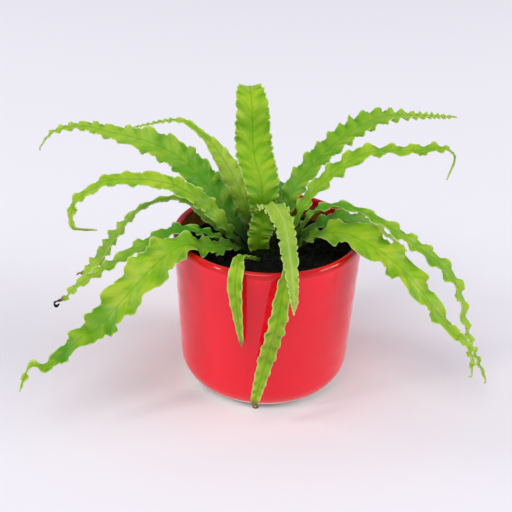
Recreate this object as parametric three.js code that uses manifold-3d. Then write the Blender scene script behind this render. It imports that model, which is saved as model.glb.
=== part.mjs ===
// A potted fern: a rosette of long strap fronds with crimped margins, growing from one crown in a
// round glazed pot that is filled with soil.
// Millimetres, +Z up. The origin is the middle of the pot's flat foot, +X is to the plant's right as
// it is seen from its front, and the front faces -Y.
import * as THREE from 'three';
import { mergeVertices } from 'three/addons/utils/BufferGeometryUtils.js';
import Module from 'manifold-3d';

// ---- driving dimensions -------------------------------------------------------------------------

const pot = {
  rimRadius: 67.5, // outer radius at the lip
  height: 118,
  wallSlope: 2.9, // degrees that the wall leans outwards from foot to rim
  wall: 5,
  floor: 7,
  footCorner: 20, // radius of the rounded lower edge
  innerCorner: 15,
  sides: 40,
};

const soil = {
  level: 101, // height at the pot's wall
  mound: 1.5, // extra height in the middle
  lump: 1.1, // height of the lumps
  lumpWaves: [ // each: share of the height, waves along X and along Y in radians per mm, phase
    [0.5, 0.31, -0.27, 2.87], [0.5, 0.31, 0.27, -1.07], [0.6, 0.19, -0.47, 2.1], [0.5, 0.53, 0.22, 0],
  ],
  rings: 5,
  cornerSteps: 3,
};

const crown = {
  radius: 22,
  depth: 8.5, // half its height
  middle: 97,
  scaleRows: 5, // rows of old leaf bases, a relief on its surface
  twist: 3, // how far a row turns about the axis as it climbs
  relief: 0.9,
  sides: 20,
};

const gap = 0.3; // between pieces that rest in one another

const blade = {
  leastWidth: 1.5,
  marginThickness: 0.9,
  ribThickness: 2.6, // at the root, and it thins to ribTip
  ribTip: 1,
  tipLength: 6, // over which the tip rounds off
  bluntness: 0.25, // width left at the very tip, as a share
  channel: 0.22, // how far the margins stand above the midrib, as a share of the half width
  channelFade: 0.6, // share of the channel that is lost by the tip
  crimp: 0.17, // height of the margin's waves, as a share of the half width
  evenness: 0.35, // how much of that half width is the frond's greatest, so that narrow parts wave too
  scallop: 0.12, // how far the margin draws in between two crests
  pitch: 11.5, // mean length of one wave
  slowing: 0.35, // how much longer than the mean the waves are halfway, and shorter at both ends
  drift: 0.2, // how much their length varies on the way
  wavesFrom: 0.03, // place along the blade where the waves begin, and how soon they are full
  wavesGrow: 0.1,
  wavesEnd: 0.05, // share of the length over which they fade at the tip
  rollGrow: 0.25, // share of the length over which the blade turns to its roll
  stationsPerWave: 4,
  holeLength: 0.17, // share of the length that is cut from the crown and the soil
};

// Every frond arches in its own upright plane. bearing is that plane's angle from +X, and swing is
// how far it has turned at the tip. roll turns the blade's face about its midrib, and flip shows the
// upper face outwards. arc lists, from the root in the crown to the tip, reach from the pot's axis,
// height above the foot, width of the blade and how far it lies beside its plane.
const fronds = {
  frond_back: {
    bearing: 110, swing: -10, pitch: 8.5, crimp: 0.07,
    arc: [[9, 96, 4], [14, 120, 16], [19, 143, 26], [45, 160, 29], [58, 190, 25], [73, 198, 20],
      [86, 193, 13], [102, 166, 4]],
  },
  frond_right_top: {
    bearing: 43, roll: 8, pitch: 10.5, crimp: 0.18,
    arc: [[10, 96, 4], [17, 121, 13], [24, 140, 17.5], [42, 156, 19], [73, 170, 21],
      [102, 176, 23], [126, 175, 20], [162, 167, 12], [213, 155, 5]],
  },
  frond_right_upper: {
    bearing: 12, roll: 10, pitch: 12, crimp: 0.22,
    arc: [[11, 96, 4, -1], [20.5, 126, 10, -2.6], [34, 148, 16, -1], [63, 170, 18], [86, 173, 12],
      [106, 172, 14], [125, 173, 9], [135, 166, 5], [132, 150, 3]],
  },
  frond_right_long: {
    bearing: -15, roll: 13, pitch: 13, crimp: 0.28,
    arc: [[12, 96, 4], [24, 124, 6], [37, 140, 8], [63, 142.5, 8], [108, 120, 14], [135, 97, 14],
      [149, 58, 9], [166, 23, 4]],
  },
  frond_right_inner: {
    bearing: 9, roll: 8, crimp: 0.2,
    arc: [[16, 96, 4], [22, 106, 6], [35, 118, 12], [55, 124, 17], [78, 117, 13], [104, 96, 2]],
  },
  frond_right_broad: {
    bearing: -26, roll: 11, pitch: 17, crimp: 0.2,
    arc: [[16, 96, 4], [22, 109, 7], [40, 123, 18], [63, 128, 29], [100, 113, 26], [139, 76, 11],
      [147, 73, 9], [155, 62, 7], [158, 46, 3]],
  },
  frond_front_folded: {
    bearing: 278, flip: true, pitch: 9.5, crimp: 0.13,
    arc: [[4, 96, 10, -3], [7, 114, 17, -7.5], [6, 138, 19, -1], [26, 147, 17, 1],
      [46, 143, 14, 4], [67, 128, 11, 5], [81, 109, 6, 6], [83, 99, 3, 6]],
  },
  frond_front_long: {
    bearing: 302, swing: -38, roll: -8, pitch: 10, crimp: 0.2,
    arc: [[16, 96, 4], [23, 106, 4], [45, 119, 6, -1], [64, 125, 7, -4], [71, 112, 10, -2],
      [81, 89, 13], [75, 59, 12, 2], [82, 24, 6, 2]],
  },
  frond_front_small: {
    bearing: 251, swing: 4, pitch: 10, crimp: 0.16,
    arc: [[15, 96, 4], [22, 105, 4], [45, 117, 6, -5], [67, 119, 10, -1], [73, 106, 10, -1],
      [69, 63, 3, 2]],
  },
  frond_left_broad: {
    bearing: 212, roll: -10, pitch: 16,
    arc: [[16, 96, 4], [24, 109.5, 9], [48, 114, 22], [68, 121, 23], [91, 110, 35], [131, 76, 27],
      [143, 72, 18], [167, 57, 10], [180, 60, 6], [188, 45, 4]],
  },
  frond_left_low: {
    bearing: 193, roll: -10, pitch: 10.5, crimp: 0.25,
    arc: [[18, 96, 4], [24, 105, 5], [43, 118, 8], [64, 122, 12], [84, 114.5, 14], [110, 100, 11],
      [135, 85, 10], [145, 75, 6], [151, 73, 3]],
  },
  frond_left_thin: {
    bearing: 173, roll: -25, pitch: 10,
    arc: [[16, 96, 4], [23, 106, 4], [44, 121, 6], [63, 136, 6], [91, 127, 6], [113, 101, 16],
      [124, 83, 20], [137, 69, 10], [142, 67, 3]],
  },
  frond_left_hooked: {
    bearing: 183, roll: -40, crimp: 0.25,
    arc: [[11, 96, 4], [25, 112, 9], [46, 138, 14], [72, 153, 13], [108, 155, 10], [120, 149, 8],
      [135, 138, 8], [138, 119, 9], [123, 116, 5]],
  },
  frond_left_top: {
    bearing: 154, roll: -24, pitch: 12,
    arc: [[10, 96, 4], [21, 109, 9], [45, 136, 24], [71, 156, 25], [99, 164, 24], [131, 165, 15],
      [159, 165, 10], [187, 155, 8], [201, 140, 5]],
  },
  frond_left_rear: {
    bearing: 126, roll: -25, pitch: 11, crimp: 0.2,
    arc: [[11, 96, 4], [19, 108, 7], [31, 127, 14], [44, 141, 16.5], [67, 155, 12], [89, 161, 6],
      [124, 161, 6], [200, 131, 4]],
  },
  frond_rear_right: {
    bearing: 80, pitch: 15,
    arc: [[15, 96, 4], [22, 105, 6], [42, 117, 14], [68, 121.5, 13], [90, 113, 12], [108, 90, 7],
      [118, 60, 2]],
  },
  frond_rear_left: {
    bearing: 122, pitch: 15,
    arc: [[17, 96, 4], [23, 105, 7], [43, 120, 16], [70, 128, 18], [96, 118, 15], [122, 103, 8],
      [140, 82, 2]],
  },
};

// ---- helpers ------------------------------------------------------------------------------------

const wasm = await Module();
wasm.setup();

const smoothStep = (value) => THREE.MathUtils.smoothstep(value, 0, 1);

// A three.js geometry with its doubled corners joined, as a solid that can be cut.
function toSolid(geometry) {
  const plain = geometry.clone();
  plain.deleteAttribute('normal');
  plain.deleteAttribute('uv');
  const merged = mergeVertices(plain, 1e-4);
  return new wasm.Manifold(new wasm.Mesh({
    numProp: 3,
    vertProperties: new Float32Array(merged.attributes.position.array),
    triVerts: new Uint32Array(merged.index.array),
  }));
}

function toGeometry(solid) {
  const mesh = solid.getMesh();
  const geometry = new THREE.BufferGeometry();
  geometry.setAttribute('position', new THREE.BufferAttribute(mesh.vertProperties, 3));
  geometry.setIndex(new THREE.BufferAttribute(mesh.triVerts, 1));
  return geometry;
}

// Points on a circle from one angle to another, for a lathe profile.
function arcPoints(centreX, centreY, radius, fromDegrees, toDegrees, steps) {
  return Array.from({ length: steps + 1 }, (unused, i) => {
    const angle = THREE.MathUtils.degToRad(fromDegrees + ((toDegrees - fromDegrees) * i) / steps);
    return new THREE.Vector2(centreX + radius * Math.cos(angle), centreY + radius * Math.sin(angle));
  });
}

// Turns a profile of (radius, height) about the upright axis.
function turned(profile, sides) {
  const geometry = new THREE.LatheGeometry(profile, sides);
  geometry.rotateX(Math.PI / 2);
  return geometry;
}

function named(name, geometry, look) {
  geometry.computeVertexNormals();
  const mesh = new THREE.Mesh(geometry, new THREE.MeshStandardMaterial(look));
  mesh.name = name;
  return mesh;
}

// ---- pot ----------------------------------------------------------------------------------------

const wallLean = Math.tan(THREE.MathUtils.degToRad(pot.wallSlope));
const outerRadiusAt = (height) => pot.rimRadius - (pot.height - height) * wallLean;
const innerRadiusAt = (height) => outerRadiusAt(height) - pot.wall;

function potGeometry() {
  const lip = pot.wall / 2;
  const footX = outerRadiusAt(pot.footCorner) - pot.footCorner;
  const innerHeight = pot.floor + pot.innerCorner;
  const innerX = innerRadiusAt(innerHeight) - pot.innerCorner;
  return turned([
    new THREE.Vector2(0, 0),
    ...arcPoints(footX, pot.footCorner, pot.footCorner, -90, 0, 5),
    ...arcPoints(pot.rimRadius - lip, pot.height - lip, lip, 0, 180, 4),
    ...arcPoints(innerX, innerHeight, pot.innerCorner, 0, -90, 3),
    new THREE.Vector2(0, pot.floor),
  ], pot.sides);
}

// ---- crown and soil -----------------------------------------------------------------------------

// The crown is a flattened knob. Old leaf bases cover it in a spiral of low bumps:
// radius = size + relief * cos(2 rows * latitude) * cos(rows * longitude + twist * latitude)
// * cos(latitude) squared.
function crownGeometry(swell = 0) {
  const geometry = new THREE.SphereGeometry(1, crown.sides, crown.sides / 2);
  geometry.rotateX(Math.PI / 2);
  const corners = geometry.attributes.position;
  const corner = new THREE.Vector3();
  for (let i = 0; i < corners.count; i += 1) {
    corner.fromBufferAttribute(corners, i);
    const turn = Math.atan2(corner.y, corner.x);
    const rise = Math.asin(THREE.MathUtils.clamp(corner.z, -1, 1));
    const bump = crown.relief * Math.cos(2 * crown.scaleRows * rise)
      * Math.cos(crown.scaleRows * turn + crown.twist * rise) * Math.cos(rise) ** 2;
    corner.set(
      corner.x * (crown.radius + bump + swell),
      corner.y * (crown.radius + bump + swell),
      crown.middle + corner.z * (crown.depth + bump + swell),
    );
    corners.setXYZ(i, corner.x, corner.y, corner.z);
  }
  return geometry;
}

// The soil's surface: a low mound with lumps made of crossing waves.
function soilHeight(x, y) {
  const share = Math.hypot(x, y) / innerRadiusAt(soil.level);
  const lumps = soil.lumpWaves.reduce((sum, [part, alongX, alongY, phase]) => (
    sum + part * Math.sin(alongX * x + alongY * y + phase)
  ), 0);
  return soil.level + soil.mound * (1 - share * share) + soil.lump * lumps * (1 - share ** 6);
}

function soilGeometry() {
  const corner = pot.innerCorner;
  const innerHeight = pot.floor + corner;
  const innerX = innerRadiusAt(innerHeight) - corner;
  const edge = innerRadiusAt(soil.level) - gap;
  const top = Array.from({ length: soil.rings + 1 }, (unused, i) => (
    new THREE.Vector2(edge * (1 - i / soil.rings), soil.level)
  ));
  const profile = [
    new THREE.Vector2(0, pot.floor + gap),
    ...arcPoints(innerX, innerHeight, corner - gap, -90, 0, soil.cornerSteps),
    ...top,
  ];
  const geometry = turned(profile, pot.sides);
  const corners = geometry.attributes.position;
  for (let i = 0; i < corners.count; i += 1) {
    const x = corners.getX(i);
    const y = corners.getY(i);
    if (corners.getZ(i) > soil.level - gap && Math.hypot(x, y) < edge - gap) {
      corners.setZ(i, soilHeight(x, y));
    }
  }
  return geometry;
}

// ---- fronds -------------------------------------------------------------------------------------

// The curve along the midrib and one that gives the width at the same place, both through the arc.
function midrib(frond) {
  const last = frond.arc.length - 1;
  const points = frond.arc.map(([reach, height, , aside = 0], i) => {
    const bearing = THREE.MathUtils.degToRad(frond.bearing + ((frond.swing ?? 0) * i) / last);
    return new THREE.Vector3(
      reach * Math.cos(bearing) - aside * Math.sin(bearing),
      reach * Math.sin(bearing) + aside * Math.cos(bearing),
      height,
    );
  });
  const widths = frond.arc.map(([, , width]) => new THREE.Vector3(width, 0, 0));
  const [path, width] = [points, widths].map((list) => (
    new THREE.CatmullRomCurve3(list, false, 'catmullrom', 0.5)
  ));
  path.arcLengthDivisions = 400;
  return { path, width };
}

// Rings of six corners along the midrib, at s from 0 (root) to 1 (tip): upper left, upper middle,
// upper right, lower right, lower middle, lower left. With x even from 0 to 1,
// s = x - slowing * sin(2 pi x) / (2 pi) + drift * (sin(6 pi x + bearing) - sin(bearing)) / (6 pi)
// turn = 2 pi * waves * x, and the left margin's leads the right margin's by a quarter of a wave
// margin = half width * (1 - scallop * (1 - |sin turn|)), at a height of
// channel * half width + crimp * (half width, mixed with the greatest) * sin(turn)
function frondRings(frond, swell = 0, upTo = 1) {
  const shape = { ...blade, ...frond };
  const { path, width } = midrib(frond);
  const length = path.getLength();
  const waves = Math.round(length / shape.pitch);
  const stations = waves * shape.stationsPerWave;
  const start = THREE.MathUtils.degToRad(shape.bearing);
  const greatest = 0.5 * Math.max(...shape.arc.map((knot) => knot[2]));
  const driftAngle = 6 * Math.PI;
  const rings = [];
  for (let i = 0; i <= stations * upTo; i += 1) {
    const even = i / stations;
    const s = even - (shape.slowing / (2 * Math.PI)) * Math.sin(2 * Math.PI * even)
      + (shape.drift / driftAngle) * (Math.sin(driftAngle * even + start) - Math.sin(start));
    const place = path.getUtoTmapping(THREE.MathUtils.clamp(s, 0, 1));
    const centre = path.getPoint(place);
    const along = path.getTangent(place);
    if (i === 0) centre.addScaledVector(along, -swell);
    const bearing = THREE.MathUtils.degToRad(frond.bearing + (frond.swing ?? 0) * s);
    const side = new THREE.Vector3(-Math.sin(bearing), Math.cos(bearing), 0);
    if (frond.flip) side.negate();
    side.addScaledVector(along, -side.dot(along)).normalize();
    const roll = THREE.MathUtils.degToRad(frond.roll ?? 0) * smoothStep(s / shape.rollGrow);
    side.applyAxisAngle(along, roll);
    const face = new THREE.Vector3().crossVectors(along, side);

    const toTip = THREE.MathUtils.clamp(1 - ((1 - s) * length) / shape.tipLength, 0, 1);
    const rounding = Math.sqrt(1 - (1 - shape.bluntness ** 2) * toTip ** 2);
    const half = swell + 0.5 * rounding * Math.max(width.getPoint(place).x, shape.leastWidth);
    const waving = smoothStep((s - shape.wavesFrom) / shape.wavesGrow)
      * smoothStep((1 - s) / shape.wavesEnd);
    const depth = THREE.MathUtils.lerp(half, greatest, shape.evenness);
    const rib = THREE.MathUtils.lerp(shape.ribThickness, shape.ribTip, s);
    const margin = shape.marginThickness / 2 + swell;

    const corner = (across, lead, height) => {
      const wave = Math.sin(2 * Math.PI * (waves * even + lead));
      const drawn = 1 - shape.scallop * waving * (1 - Math.abs(wave));
      const lift = half * shape.channel * (1 - shape.channelFade * s)
        + depth * shape.crimp * waving * wave;
      return centre.clone()
        .addScaledVector(side, across * half * drawn)
        .addScaledVector(face, Math.abs(across) * lift + height);
    };
    rings.push([
      corner(1, 0, margin), corner(0, 0, margin), corner(-1, 0.25, margin),
      corner(-1, 0.25, -margin), corner(0, 0, margin - rib - 2 * swell), corner(1, 0, -margin),
    ]);
  }
  return rings;
}

// Joins rings into one closed strip. Upper and lower faces are split along the same diagonals.
function closedStrip(rings) {
  const corners = rings.flat().flatMap((corner) => corner.toArray());
  const faces = [];
  const sides = 6;
  for (let i = 0; i < rings.length - 1; i += 1) {
    for (let j = 0; j < sides; j += 1) {
      const a = i * sides + j;
      const b = i * sides + ((j + 1) % sides);
      const c = b + sides;
      const d = a + sides;
      if (j < 3) faces.push(a, b, c, a, c, d);
      else faces.push(a, b, d, b, c, d);
    }
  }
  const capFaces = (first, flip) => {
    const cap = [[0, 5, 4], [0, 4, 1], [1, 4, 3], [1, 3, 2]];
    cap.forEach(([a, b, c]) => {
      faces.push(first + a, first + (flip ? c : b), first + (flip ? b : c));
    });
  };
  capFaces(0, false);
  capFaces((rings.length - 1) * sides, true);
  const geometry = new THREE.BufferGeometry();
  geometry.setAttribute('position', new THREE.Float32BufferAttribute(corners, 3));
  geometry.setIndex(faces);
  return geometry;
}

// ---- assembly -----------------------------------------------------------------------------------

const plant = new THREE.Group();

plant.add(named('pot', potGeometry(), { color: '#d8202c', roughness: 0.12, metalness: 0 }));

// Every stalk stands in a plain hole in the crown, and a low one also in the soil beside it.
let soilSolid = toSolid(soilGeometry()).subtract(toSolid(crownGeometry(gap)));
let crownSolid = toSolid(crownGeometry());
Object.values(fronds).forEach((frond) => {
  const stalkHole = toSolid(closedStrip(frondRings(frond, gap, blade.holeLength)));
  crownSolid = crownSolid.subtract(stalkHole);
  soilSolid = soilSolid.subtract(stalkHole);
});
plant.add(named('soil', toGeometry(soilSolid), { color: '#2b1d16', roughness: 0.95, metalness: 0 }));
plant.add(named('crown', toGeometry(crownSolid), { color: '#3b2a1a', roughness: 0.9, metalness: 0 }));

Object.entries(fronds).forEach(([name, frond]) => {
  const geometry = closedStrip(frondRings(frond));
  plant.add(named(name, geometry, { color: '#8fb43c', roughness: 0.45, metalness: 0 }));
});

export default plant;
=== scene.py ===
# A potted fern: long strap fronds with crimped margins that grow from one crown, in a red glazed pot.
# Lengths in the dictionaries are millimetres. The origin is the middle of the pot's foot, +Z is up
# and the plant's front faces -Y.
import math
from types import SimpleNamespace
import bpy
import numpy as np
from mathutils import Matrix, Vector


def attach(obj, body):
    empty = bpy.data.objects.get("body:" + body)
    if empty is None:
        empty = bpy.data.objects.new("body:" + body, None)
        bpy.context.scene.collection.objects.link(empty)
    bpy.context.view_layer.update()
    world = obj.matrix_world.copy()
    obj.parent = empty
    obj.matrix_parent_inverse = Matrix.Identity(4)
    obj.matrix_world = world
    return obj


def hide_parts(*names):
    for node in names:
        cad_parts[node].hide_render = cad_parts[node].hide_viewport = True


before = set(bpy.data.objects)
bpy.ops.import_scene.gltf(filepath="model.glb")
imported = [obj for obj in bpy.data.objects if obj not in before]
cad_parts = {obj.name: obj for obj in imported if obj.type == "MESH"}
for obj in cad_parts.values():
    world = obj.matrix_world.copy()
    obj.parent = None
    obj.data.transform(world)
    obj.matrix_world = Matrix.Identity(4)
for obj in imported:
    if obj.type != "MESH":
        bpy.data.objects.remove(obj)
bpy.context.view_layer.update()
mm = 0.001
seed = 41
print("frame loaded,", len(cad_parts), "nodes")


# ---- camera, light and floor ----

cameraView = dict(
    aim=(-8.0, 0.0, 95.6), distance=650.0, elevation=28.4, roll=1.75, lens=63.0, sensor=36.0)

studio = dict(
    floorSize=9000.0, floorColour="#E8E4E6", floorRoughness=0.9,
    bright=0.57, dim=0.48, skyColour="#E8EEFF",   # the tent's cloth, overhead and at the horizon
    dimUpTo=-0.1, brightFrom=0.5,   # heights of a direction, from -1 straight down to 1 straight up
    # softboxes: place, width, height and power
    softboxes=dict(
        front=((-2500.0, -6000.0, 10200.0), 6200.0, 5200.0, 420.0),
        leftFar=((-4000.0, 560.0, 1820.0), 900.0, 1000.0, 42.0),
        leftNear=((-3200.0, -1600.0, 2680.0), 560.0, 800.0, 40.0),
        right=((4000.0, -400.0, 2200.0), 2800.0, 600.0, 95.0)))


def linearColour(hexText):
    # sRGB hex to linear: c / 12.92 under 0.04045, else ((c + 0.055) / 1.055) ^ 2.4
    shares = [int(hexText[i:i + 2], 16) / 255 for i in (1, 3, 5)]
    return tuple(c / 12.92 if c < 0.04045 else ((c + 0.055) / 1.055) ** 2.4 for c in shares) + (1.0,)


smoothRamp = {"interpolation_type": "SMOOTHSTEP"}
colourMix = {"data_type": "RGBA"}


def feed(tree, node, inputs):
    # each input of the node is a value, or a socket that it comes from
    for name, value in inputs.items():
        if isinstance(value, bpy.types.NodeSocket):
            tree.links.new(value, node.inputs[name])
        else:
            node.inputs[name].default_value = value


def addNode(tree, kind, settings=None, inputs=None):
    # one shader node with its settings, fed with its inputs
    node = tree.nodes.new("ShaderNode" + kind)
    for name, value in (settings or {}).items():
        setattr(node, name, value)
    feed(tree, node, inputs or {})
    return node


def newMaterial(name):
    # a material with its node tree and its main shader
    material = bpy.data.materials.new(name)
    material.use_nodes = True
    tree = material.node_tree
    return material, tree, tree.nodes["Principled BSDF"]


def placeCamera():
    # camera = aim + distance * (0, -cos e, sin e), its right and up axes turned by the roll
    elevation, roll = math.radians(cameraView["elevation"]), math.radians(cameraView["roll"])
    back = Vector((0, -math.cos(elevation), math.sin(elevation)))
    right, up = Vector((1, 0, 0)), Vector((0, math.sin(elevation), math.cos(elevation)))
    turnedRight = math.cos(roll) * right + math.sin(roll) * up
    turnedUp = math.cos(roll) * up - math.sin(roll) * right
    place = Vector(cameraView["aim"]) * mm + back * cameraView["distance"] * mm
    lens = bpy.data.cameras.new("camera")
    lens.lens, lens.sensor_width = cameraView["lens"], cameraView["sensor"]
    camera = bpy.data.objects.new("camera", lens)
    axes = Matrix((turnedRight, turnedUp, back)).transposed().to_4x4()
    camera.matrix_world = Matrix.Translation(place) @ axes
    bpy.context.collection.objects.link(camera)
    bpy.context.scene.camera = camera


def addSoftbox(name, place, width, height, power):
    # a rectangular light whose -Z axis points from its place to the pot's foot
    lamp = bpy.data.lights.new(name, "AREA")
    lamp.shape, lamp.size, lamp.size_y, lamp.energy = "RECTANGLE", width * mm, height * mm, power
    light = bpy.data.objects.new(name, lamp)
    light.location = Vector(place) * mm
    light.rotation_euler = (-light.location).to_track_quat("-Z", "Y").to_euler()
    bpy.context.collection.objects.link(light)


def paintSky():
    # brightness = dim + (bright - dim) * smooth(height of the direction)
    world = bpy.data.worlds.new("sky")
    world.use_nodes = True
    tree = world.node_tree
    tree.nodes.clear()
    direction = addNode(tree, "TexCoord").outputs["Generated"]
    height = addNode(tree, "SeparateXYZ", inputs={"Vector": direction}).outputs["Z"]
    strength = addNode(tree, "MapRange", smoothRamp,
        {"Value": height, "From Min": studio["dimUpTo"], "From Max": studio["brightFrom"],
         "To Min": studio["dim"], "To Max": studio["bright"]}).outputs[0]
    glow = addNode(tree, "Background",
        inputs={"Color": linearColour(studio["skyColour"]), "Strength": strength})
    addNode(tree, "OutputWorld", inputs={"Surface": glow.outputs[0]})
    bpy.context.scene.world = world


def layFloor():
    # a level square under the pot's foot
    half = studio["floorSize"] * mm / 2
    corners = [(-half, -half, 0), (half, -half, 0), (half, half, 0), (-half, half, 0)]
    mesh = bpy.data.meshes.new("floor")
    mesh.from_pydata(corners, [], [(0, 1, 2, 3)])
    material, tree, shader = newMaterial("mattePaintedTable")  # white paint: no gloss, only soft shadows
    feed(tree, shader, {
        "Base Color": linearColour(studio["floorColour"]), "Roughness": studio["floorRoughness"]})
    mesh.materials.append(material)
    floor = bpy.data.objects.new("floor", mesh)
    bpy.context.collection.objects.link(floor)


placeCamera()
paintSky()
layFloor()
for name, facts in studio["softboxes"].items():
    addSoftbox(name + "Softbox", *facts)
bpy.context.scene.view_settings.view_transform = "Standard"
print("camera, light and floor set")


# ---- surfaces ----

def smoothStep(value):
    # 3 t^2 - 2 t^3, with t held between 0 and 1
    t = np.clip(value, 0, 1)
    return t * t * (3 - 2 * t)


def unit(vectors):
    # each vector over its own length
    return vectors / np.linalg.norm(vectors, axis=-1, keepdims=True)


def skinFaces(ringCount, ringSize):
    # faces of a closed skin over rings of points: a quad between neighbours, a fan at both ends.
    # The two middle points of the fans come after the rings.
    index = np.arange(ringCount * ringSize).reshape(ringCount, ringSize)
    beside = np.roll(index, -1, axis=1)
    quads = np.stack([index[:-1], index[1:], beside[1:], beside[:-1]], axis=-1).reshape(-1, 4)
    firstFan = np.stack([np.full(ringSize, index.size), index[0], beside[0]], axis=-1)
    lastFan = np.stack([np.full(ringSize, index.size + 1), beside[-1], index[-1]], axis=-1)
    return quads, np.vstack([firstFan, lastFan])


def skinPoints(rings):
    # the rings' points, then the middle of the first and of the last ring
    middles = np.stack([rings[..., 0, :, :].mean(axis=-2), rings[..., -1, :, :].mean(axis=-2)], axis=-2)
    flat = rings.reshape(*rings.shape[:-3], -1, 3)
    return np.concatenate([flat, middles], axis=-2)


def pointsOutwards(points, quads):
    # the sign of the volume under the quads, as tetrahedra to the origin
    a, b, c, d = (points[quads[:, k]] for k in range(4))
    volume = (a * np.cross(b, c)).sum() + (a * np.cross(c, d)).sum()
    return volume > 0


def addPiece(name, rings, material, node=None, smooth=True):
    # rings (count, size, 3) make one skin, and rings (copies, count, size, 3) make many in one mesh:
    # faces of copy k = faces of the first + k * points in one copy, turned round where they point inwards
    quads, fans = skinFaces(*rings.shape[-3:-1])
    points = skinPoints(rings)
    if points.ndim == 3:
        starts = np.arange(len(points))[:, None, None] * points.shape[1]
        quads, fans = ((part[None] + starts).reshape(-1, part.shape[1]) for part in (quads, fans))
        points = points.reshape(-1, 3)
    if not pointsOutwards(points - points.mean(axis=0), quads):
        quads, fans = quads[:, ::-1], fans[:, ::-1]
    mesh = bpy.data.meshes.new(name)
    mesh.from_pydata((points * mm).tolist(), [], quads.tolist() + fans.tolist())
    mesh.polygons.foreach_set("use_smooth", np.full(len(mesh.polygons), smooth))
    mesh.materials.append(material)
    piece = bpy.data.objects.new(name, mesh)
    bpy.context.collection.objects.link(piece)
    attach(piece, "root")
    if node:
        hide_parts(node)
    return piece


def withEnds(values):
    # the values of the rings' points, then the means of the first and the last ring
    return np.concatenate([values.ravel(), [values[0].mean(), values[-1].mean()]])


def addAttribute(piece, name, values):
    # one number for each point
    layer = piece.data.attributes.new(name, "FLOAT", "POINT")
    layer.data.foreach_set("value", values.ravel().astype(np.float32))


def arc(centreX, centreY, radius, fromDegrees, toDegrees, steps):
    # points on a round corner of a profile: centre + radius * (cos angle, sin angle)
    angles = np.radians(np.linspace(fromDegrees, toDegrees, steps + 1))
    return np.column_stack([centreX + radius * np.cos(angles), centreY + radius * np.sin(angles)])


def refined(profile, spacing):
    # the profile with its long straight runs cut to the spacing
    runs = np.linalg.norm(np.diff(profile, axis=0), axis=1)
    walked = np.concatenate([[0], np.cumsum(runs)])
    extra = [np.linspace(a, b, max(2, int((b - a) / spacing) + 1))[:-1] for a, b in zip(walked, walked[1:])]
    places = np.append(np.concatenate(extra), walked[-1])
    return np.column_stack([np.interp(places, walked, profile[:, k]) for k in range(2)])


def turned(profile, sides):
    # the profile of (radius, height) turned about the upright axis: rings (profile, sides, 3)
    turns = np.linspace(0, 2 * math.pi, sides, endpoint=False)
    radius, height = profile[:, :1], profile[:, 1:]
    return np.stack([radius * np.cos(turns), radius * np.sin(turns), height + 0 * turns], axis=-1)


# ---- pot ----

potPiece = dict(
    rimRadius=67.5, height=118.0, wallSlope=2.9, wall=5.0, floor=7.0, footCorner=20.0, innerCorner=15.0,
    sides=256, spacing=1.5,
    pole=0.4,   # radius of the small ring that closes the foot and the floor
    bareFoot=7.4,   # height up to which the clay is wiped clean of glaze
    rollHeight=114.0, roll=0.3, rollWidth=0.8,   # the thin roll that the glaze leaves under the lip
    glazeRoll=0.25, glazeEdge=0.5,   # thickness of the glaze's rolled edge at the foot, and its height
    throwing=0.12,   # depth of the soft rings that turning leaves
    ringSpacing=3.1, ringBeat=17.0, ringWobble=0.8,   # the rings' waves: mm per radian, and radians
    ovality=0.15, ovalTurn=0.6,
    plainFoot=6.0, plainOver=20.0)   # the rings and the ovality grow from this height, over this one

# The peat stain inside the wall, partly real soil that watering left and partly painted shade for the
# shaded inside of the pot: none at the front, and highest at the left.
stainAndShadePiece = dict(
    reach=111.5, climb=3.5, climbFrom=20.0, climbOver=30.0,   # height of its edge, and the rise to the left
    front=-20.0, frontOver=20.0,   # the Y where it begins, and the way over which it grows
    softness=3.0, speckle=0.25)

wallLean = math.tan(math.radians(potPiece["wallSlope"]))


def outerRadiusAt(height):
    # rim radius - drop below the rim * lean of the wall
    return potPiece["rimRadius"] - (potPiece["height"] - height) * wallLean


def innerRadiusAt(height):
    # outer radius - wall
    return outerRadiusAt(height) - potPiece["wall"]


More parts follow.
